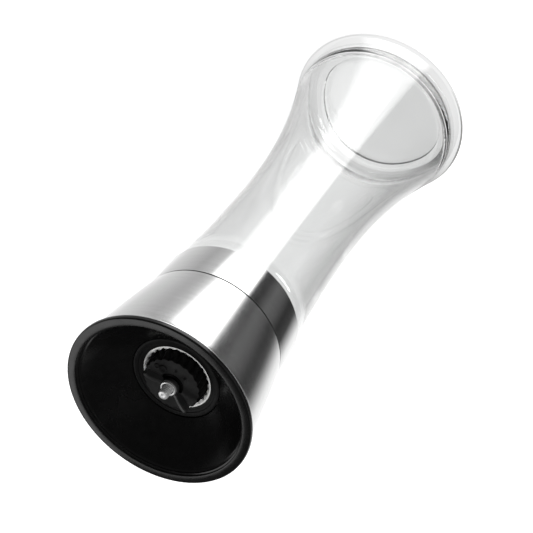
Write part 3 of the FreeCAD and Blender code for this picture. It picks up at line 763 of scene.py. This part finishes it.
spring_low, spring_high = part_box("spring")
WIRE = 0.45
COIL_RADIUS = 5.1
COIL_TURNS = 5.0
wire_start = bpy.data.meshes.new("wire_start")
spring_mesh = grown("spring_wire", winding_tree, wire_start, spring_steel, Radius=COIL_RADIUS * MM,
                    Bottom=spring_low.z + WIRE * MM, Top=spring_high.z - WIRE * MM, Turns=COIL_TURNS,
                    Wire=WIRE * MM)
spring_coil = fitted("spring_wire", spring_mesh, spring_steel, "neck", "spring_steel", "spring", sharp=60)
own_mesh(spring_coil)
dressed("spring_seat_washer", bright_steel)
dressed("spring_cap", satin_black)

# --- Rotor ---------------------------------------------------------------------------------------
# The inner burr is a matt black moulding: jagged teeth down its flank, shallow at the foot, and a flat
# face with moulding marks. The flank and the floors of the two gate scars are painted a darker black,
# as painted shade in the teeth and the dimples. A steel bush inside slides on the shank.
burr_black = moulded("burr_black", 0.012, 0.45, 0.7, 0.00005, gloss=0.3)
# Painted shade: this darker black on the flank stands for the shade between the teeth, and the scars' floors
# use it too.
flank_black_painted_shade = moulded("flank_black_painted_shade", 0.004, 0.6, 0.8, 0.00002, gloss=0.12)
rotor_low, rotor_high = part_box("rotor")
rotor_top = rotor_high.z / MM
rotor_bottom = rotor_low.z / MM
ROTOR_TEETH = 22
TOOTH_DEPTH = 0.95
FACE_TOOTH_SHARE = 0.45
TOOTH_RUN_IN = 1.5
TEETH_LOW = 169.0
FOOT_DEPTH = 0.5
FLANK_RADIUS = 7.5
FLANK_STEP = 0.7
FACE_BORE = 2.2
POCKET_RADIUS = 4.6
POCKET_TOP = 175.2
POCKET_LOW = 166.2
rotor_section = softened([
    (6.4, rotor_bottom), (8.0, rotor_bottom, 0.2), (9.4, TEETH_LOW), (10.5, 174.5, 0.3), (10.5, 176.2, 0.2),
    (10.2, rotor_top - 0.35, 0.2), (9.9, rotor_top, 0.15), (FACE_BORE, rotor_top), (FACE_BORE, POCKET_TOP),
    (POCKET_RADIUS, POCKET_TOP), (POCKET_RADIUS, POCKET_LOW), (6.4, POCKET_LOW)], steps=3)
toothed = []
for radius, height in rotor_section:
    on_flank = radius > FLANK_RADIUS
    if on_flank and height >= TEETH_LOW:
        run_in = min(1, FACE_TOOTH_SHARE + (rotor_top - height) / TOOTH_RUN_IN)
        toothed.append((radius, height, TOOTH_DEPTH * run_in))
    elif on_flank:
        toothed.append((radius, height, FOOT_DEPTH))
    else:
        toothed.append((radius, height, 0))
dense_flank = []
for number, point in enumerate(toothed):
    dense_flank.append(point)
    after = toothed[(number + 1) % len(toothed)]
    steps = int(math.hypot(after[0] - point[0], after[1] - point[1]) / FLANK_STEP)
    if point[2] or after[2]:
        for step in range(1, steps):
            part = step / steps
            dense_flank.append(tuple(a * (1 - part) + b * part for a, b in zip(point, after)))
rotor_core = turned("rotor_core", dense_flank, burr_black, Steps=ROTOR_TEETH * 14, Teeth=ROTOR_TEETH,
                    Share=0.8, Lean=55.0, Rough=1.7)


def mark_on_face(name, across, deep, radius, height, hollow):
    """A round moulding mark on the rotor's face: a raised pad, or a small dimpled gate scar if hollow."""
    steps = 28
    profile = [(1.0, -0.25), (1.0, height * 0.7), (0.9, height)]
    if hollow:
        profile += [(0.7, height), (0.6, 0.02), (0, 0.02)]
    else:
        profile += [(0.72, height), (0.66, height * 0.55), (0, height * 0.5)]
    spots = [(math.cos(2 * math.pi * step / steps), math.sin(2 * math.pi * step / steps))
             for step in range(steps)]
    work = bmesh.new()
    rings = []
    for share, up in profile:
        rings.append([work.verts.new(((across + radius * share * x) * MM, (deep + radius * share * y) * MM,
                                      (rotor_top + up) * MM)) for x, y in spots])
    for inner, outer in zip(rings[1:], rings):
        for step in range(steps):
            after = (step + 1) % steps
            work.faces.new((outer[step], outer[after], inner[after], inner[step]))
    work.faces.new(reversed(rings[0]))
    bmesh.ops.remove_doubles(work, verts=work.verts, dist=1e-7)
    bmesh.ops.recalc_face_normals(work, faces=work.faces)
    mesh = bpy.data.meshes.new(name)
    work.to_mesh(mesh)
    work.free()
    return mesh


SCARS = [(1.4, -6.2), (-2.3, -6.0)]
SCAR_RADIUS = 0.7
SCAR_FLOOR = 0.55 * SCAR_RADIUS
FACE_SKIN = 0.12
marks = [mark_on_face("pad_near", 5.2, -3.8, 1.25, 0.6, False),
         mark_on_face("pad_edge", 7.4, -3.0, 0.9, 0.45, False)]
marks += [mark_on_face("scar", across, deep, SCAR_RADIUS, 0.14, True) for across, deep in SCARS]
rotor_mesh = joined("rotor_black", rotor_core, *marks)
fitted("rotor_black", rotor_mesh, burr_black, "rotor", "burr_black", "rotor", sharp=28)
rotor_mesh.materials.append(flank_black_painted_shade)
# Faces of the flank and the floors of the scars take the darker black, as painted shade.
for face in rotor_mesh.polygons:
    in_scar = face.center.z > rotor_top * MM and any(
        math.hypot(face.center.x / MM - across, face.center.y / MM - deep) < SCAR_FLOOR
        for across, deep in SCARS)
    face.material_index = 1 if in_scar or face.center.z < (rotor_top - FACE_SKIN) * MM else 0
dressed("rotor_bush", bright_steel)

# --- Stator and its cushion ----------------------------------------------------------------------
# The outer burr is a fired white ceramic ring with flutes inside and a dished top. It stands on a thin
# rubber ring in the liner's socket.
ceramic, shader, tree = new_finish("white_ceramic")
shader.inputs["IOR"].default_value = 1.6
shader.inputs["Subsurface Weight"].default_value = 0.15
shader.inputs["Subsurface Radius"].default_value = (0.0008, 0.0008, 0.0007)
tinted(tree, shader, grain(tree, 700, detail=6.0), (0.7, 0.7, 0.69), (0.84, 0.84, 0.83))
tree.links.new(between(tree, grain(tree, 900, detail=4.0), 0.3, 0.5), shader.inputs["Roughness"])
relief(tree, shader, grain(tree, 2400, detail=3.0), 0.00001)
stator_low, stator_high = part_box("stator")
stator_bottom, stator_top = stator_low.z / MM, stator_high.z / MM
STATOR_RADIUS = 14.2
STATOR_TEETH = 26
DISH_OUTER = 11.75
DISH_INNER = 10.8
DISH_DEPTH = 0.6
DISH_CUT = -0.55
FLUTE_CUT = -0.8
MOUTH_CUT = -1.0
MOUTH_TOP = 171.0
stator_section = softened([
    (12.2, stator_bottom, 0.2), (STATOR_RADIUS, stator_bottom, 0.3), (STATOR_RADIUS, stator_top, 0.3),
    (DISH_OUTER, stator_top, 0.15), (DISH_INNER, stator_top - DISH_DEPTH, 0.1)], steps=3)
flutes = [(10.78 - 0.025 * step, stator_top - 0.75 - 0.35 * step, FLUTE_CUT) for step in range(14)]
mouth = [(10.45 + 0.16 * step, MOUTH_TOP - 0.62 * step, MOUTH_CUT) for step in range(12)]
dished = []
for radius, height in stator_section:
    on_dish = DISH_INNER - 0.1 < radius < 11.4 and height > stator_top - 0.7
    dished.append((radius, height, DISH_CUT if on_dish else 0))
dished += flutes + mouth
stator_mesh = turned("stator_white", dished, ceramic, Steps=STATOR_TEETH * 12, Teeth=STATOR_TEETH, Share=0.75,
                     Lean=-40.0, Rough=0.25)
fitted("stator_white", stator_mesh, ceramic, "head", "white_ceramic", "stator", sharp=30)
dressed("stator_cushion", silicone)

# --- Throat ring ---------------------------------------------------------------------------------
# A black ring over the ceramic, with fine steps that run round the throat, matt so that it draws no
# bright line.
throat_black = moulded("throat_black", 0.004, 0.35, 0.5, 0.000008, gloss=0.14)
throat_low, throat_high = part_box("throat_ring")
throat_outer, throat_top = throat_high.x / MM, throat_high.z / MM
THROAT_BORE = 12.2
THROAT_SHELF = 176.15
THROAT_WALL = 14.3
THROAT_PLAY = 0.05
THROAT_DROP = 0.25
throat_edge = throat_outer - THROAT_PLAY
throat_lip = throat_top - THROAT_DROP
throat_section = softened([
    (THROAT_BORE, THROAT_SHELF), (THROAT_WALL, THROAT_SHELF), (THROAT_WALL, throat_low.z / MM),
    (throat_edge, throat_low.z / MM), (throat_edge, throat_lip, 0.04), (14.9, throat_lip, 0.04),
    (14.8, 176.8, 0.06), (14.1, 176.75, 0.06), (13.95, 176.5, 0.06), (13.1, 176.45, 0.06),
    (12.95, 176.35, 0.06), (12.3, 176.3, 0.1)], steps=3)
throat_mesh = turned("throat_black", throat_section, throat_black)
fitted("throat_black", throat_mesh, throat_black, "head", "black_plastic", "throat_ring")

# --- Liner ---------------------------------------------------------------------------------------
# One black moulding makes the glossy flat rim, the duller funnel and the socket of the ceramic, and the
# steel skirt goes over it.
gloss_black = moulded("gloss_black", 0.0035, 0.13, 0.22, 0.000004, gloss=0.45)
liner_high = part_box("skirt_liner")[1]
rim_radius = liner_high.x / MM
rim_top = liner_high.z / MM
RIM_INNER = 30.0
RIM_LOW = 188.4
FUNNEL_TOP = (28.8, 188.3)
FUNNEL_LOW = (15.9, 177.1)
FUNNEL_CURVE = 46
LINER_SIDE = 30.7
LINER_LOW = 157.5
SOCKET_RADIUS = 14.35
SOCKET_TOP = 174.4
SOCKET_SHELF = 163.0
SOCKET_BORE = 12.9
SOCKET_LOW = 161.4
SOCKET_OUTER = 16.2
BACK_LOW = (17.6, 175.2)
BACK_TOP = (28.4, 184.6)
liner_section = softened([
    (26.9, LINER_LOW), (LINER_SIDE, 186.6), (LINER_SIDE, RIM_LOW), (rim_radius, RIM_LOW, 0.3),
    (rim_radius, rim_top, 0.8), (RIM_INNER, rim_top, 0.25), (RIM_INNER - 0.1, 189.3, 0.12),
    (RIM_INNER - 0.6, 189.15, 0.12), (RIM_INNER - 0.7, 188.7, 0.15)]) + [FUNNEL_TOP]
liner_section += bow(FUNNEL_TOP, FUNNEL_LOW, -FUNNEL_CURVE, 40)
liner_section += softened([
    FUNNEL_LOW, (15.7, SOCKET_TOP), (SOCKET_RADIUS, SOCKET_TOP), (SOCKET_RADIUS, SOCKET_SHELF),
    (SOCKET_BORE, SOCKET_SHELF, 0.2), (SOCKET_BORE, SOCKET_LOW, 0.2), (SOCKET_OUTER, SOCKET_LOW, 0.3),
    (SOCKET_OUTER, 172.4), BACK_LOW])[1:]
liner_section += bow(BACK_LOW, BACK_TOP, FUNNEL_CURVE, 20)
liner_section += [(24.6, LINER_LOW), (24.0, 155.4), (19.7, 155.4), (19.7, 153.2), (25.6, 153.2)]
liner_mesh = turned("liner_black", liner_section, gloss_black)
fitted("liner_black", liner_mesh, gloss_black, "head", "black_plastic", "skirt_liner")
liner_mesh.materials.append(moulded("funnel_black", 0.0035, 0.2, 0.32, 0.000006, gloss=0.2))
for face in liner_mesh.polygons:
    face.material_index = 1 if face.center.z < FUNNEL_TOP[1] * MM else 0

# --- Skirt shell ---------------------------------------------------------------------------------
# The stainless cover of the turning head: a spun cone that swells a little and flares out under the
# plastic rim, brushed round the axis.
skirt_steel = brushed("skirt_steel", 0.18, 0.000004, 0.7, 5200)
skirt_low, skirt_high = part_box("skirt_shell")
SKIRT_LOW_RADIUS = 26.4
SKIRT_NECK = (31.3, 185.6)
SKIRT_NECK_INSIDE = (30.8, 186.0)
SKIRT_FLARE = (31.65, 186.9)
SKIRT_LIP_HEIGHT = 187.75
SKIRT_WALL = 0.6
SKIRT_EDGE = 0.08
SKIRT_CURVE = 420
skirt_bottom, skirt_top = skirt_low.z / MM, skirt_high.z / MM
lip_radius = skirt_high.x / MM
edge_start = (SKIRT_LOW_RADIUS - SKIRT_EDGE, skirt_bottom)
edge_end = (SKIRT_LOW_RADIUS, skirt_bottom + SKIRT_EDGE)
skirt_inside = (SKIRT_LOW_RADIUS - SKIRT_WALL, skirt_bottom)
skirt_section = [skirt_inside, edge_start]
skirt_section += bow(edge_start, edge_end, SKIRT_EDGE, 4)
skirt_section += bow(edge_end, SKIRT_NECK, SKIRT_CURVE, 40)
skirt_section += bow(SKIRT_NECK, SKIRT_FLARE, -6, 5)
skirt_section += bow(SKIRT_FLARE, (lip_radius, SKIRT_LIP_HEIGHT), -2, 5)
skirt_section += bow((lip_radius, SKIRT_LIP_HEIGHT), (lip_radius - 0.3, skirt_top), 0.35, 5)
skirt_section += [(31.2, skirt_top), SKIRT_NECK_INSIDE]
skirt_section += bow(SKIRT_NECK_INSIDE, skirt_inside, -SKIRT_CURVE, 30)[:-1]
skirt_mesh = turned("skirt_steel", skirt_section, skirt_steel)
fitted("skirt_steel", skirt_mesh, skirt_steel, "head", "brushed_steel", "skirt_shell", sharp=50)

# --- Wing nut ------------------------------------------------------------------------------------
# The adjuster is a small black moulded nut with two thin wings round a bright threaded insert, on a
# steel washer coloured dark so that it shows no bright ring. It turns on the spindle's end to set the grind.
dressed("nut_washer", drawn("darkened_washer_steel", 0.06, 0.5, 700))
insert_low, insert_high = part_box("nut_insert")
insert_radius = insert_high.x / MM
insert_top = insert_high.z / MM
INSERT_BORE = 1.86
INSERT_THREAD_CUT = -0.18
insert_steps = [insert_top - 0.3 - STUB_STEP * step for step in range(18)]
insert_section = softened([
    (1.95, insert_low.z / MM), (insert_radius, insert_low.z / MM, 0.15), (insert_radius, insert_top, 0.25),
    (2.1, insert_top, 0.12)]) + [(INSERT_BORE, height, INSERT_THREAD_CUT) for height in insert_steps]
insert_mesh = turned("insert_steel", insert_section, bright_steel, Steps=72, Lean=-1 / (SPINDLE_PITCH * MM),
                     Rounded=0.4)
fitted("insert_steel", insert_mesh, bright_steel, "adjuster", "bright_steel", "nut_insert")

nut_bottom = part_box("wing_nut")[0].z / MM
NUT_RADIUS = 3.2
NUT_TOP = 182.0
NUT_PLAY = 0.02
WING_BEARING = math.radians(-9)
WING_HALF = 0.75
WING_EDGE = 0.28


def wing(name, side):
    """One wing: a thin blade that rises to its tip, with rounded edges."""
    outline = [(2.9, nut_bottom + NUT_PLAY), (6.4, 181.2), (8.4, 182.0), (9.05, 182.5), (9.38, 183.3),
               (9.38, 184.5), (9.2, 184.9), (8.85, 185.1), (7.6, 184.95), (5.4, 184.1), (3.6, 183.1),
               (2.9, 182.85)]
    work = bmesh.new()
    faces = []
    for half in (-WING_HALF, WING_HALF):
        corners = []
        for reach, height in outline:
            along, across = side * reach, half
            corners.append(work.verts.new((
                (along * math.cos(WING_BEARING) - across * math.sin(WING_BEARING)) * MM,
                (along * math.sin(WING_BEARING) + across * math.cos(WING_BEARING)) * MM, height * MM)))
        faces.append(corners)
    work.faces.new(faces[0])
    work.faces.new(list(reversed(faces[1])))
    for number in range(len(outline)):
        after = (number + 1) % len(outline)
        work.faces.new((faces[0][number], faces[1][number], faces[1][after], faces[0][after]))
    bmesh.ops.recalc_face_normals(work, faces=work.faces)
    rims = [edge for edge in work.edges if any(len(face.verts) > 4 for face in edge.link_faces)]
    bmesh.ops.bevel(work, geom=rims, offset=WING_EDGE * MM, segments=3, affect="EDGES")
    mesh = bpy.data.meshes.new(name)
    work.to_mesh(mesh)
    work.free()
    return mesh


nut_black = moulded("nut_black", 0.02, 0.3, 0.45, 0.00001, gloss=0.6)
hub_section = softened([
    (insert_radius + NUT_PLAY, nut_bottom), (NUT_RADIUS, nut_bottom, 0.2), (NUT_RADIUS, NUT_TOP, 0.35),
    (insert_radius + NUT_PLAY, NUT_TOP + 0.1, 0.1)])
nut_mesh = joined("wing_nut_black", turned("nut_hub", hub_section, nut_black, Steps=96), wing("wing_one", 1),
                  wing("wing_two", -1))
fitted("wing_nut_black", nut_mesh, nut_black, "adjuster", "burr_black", "wing_nut")
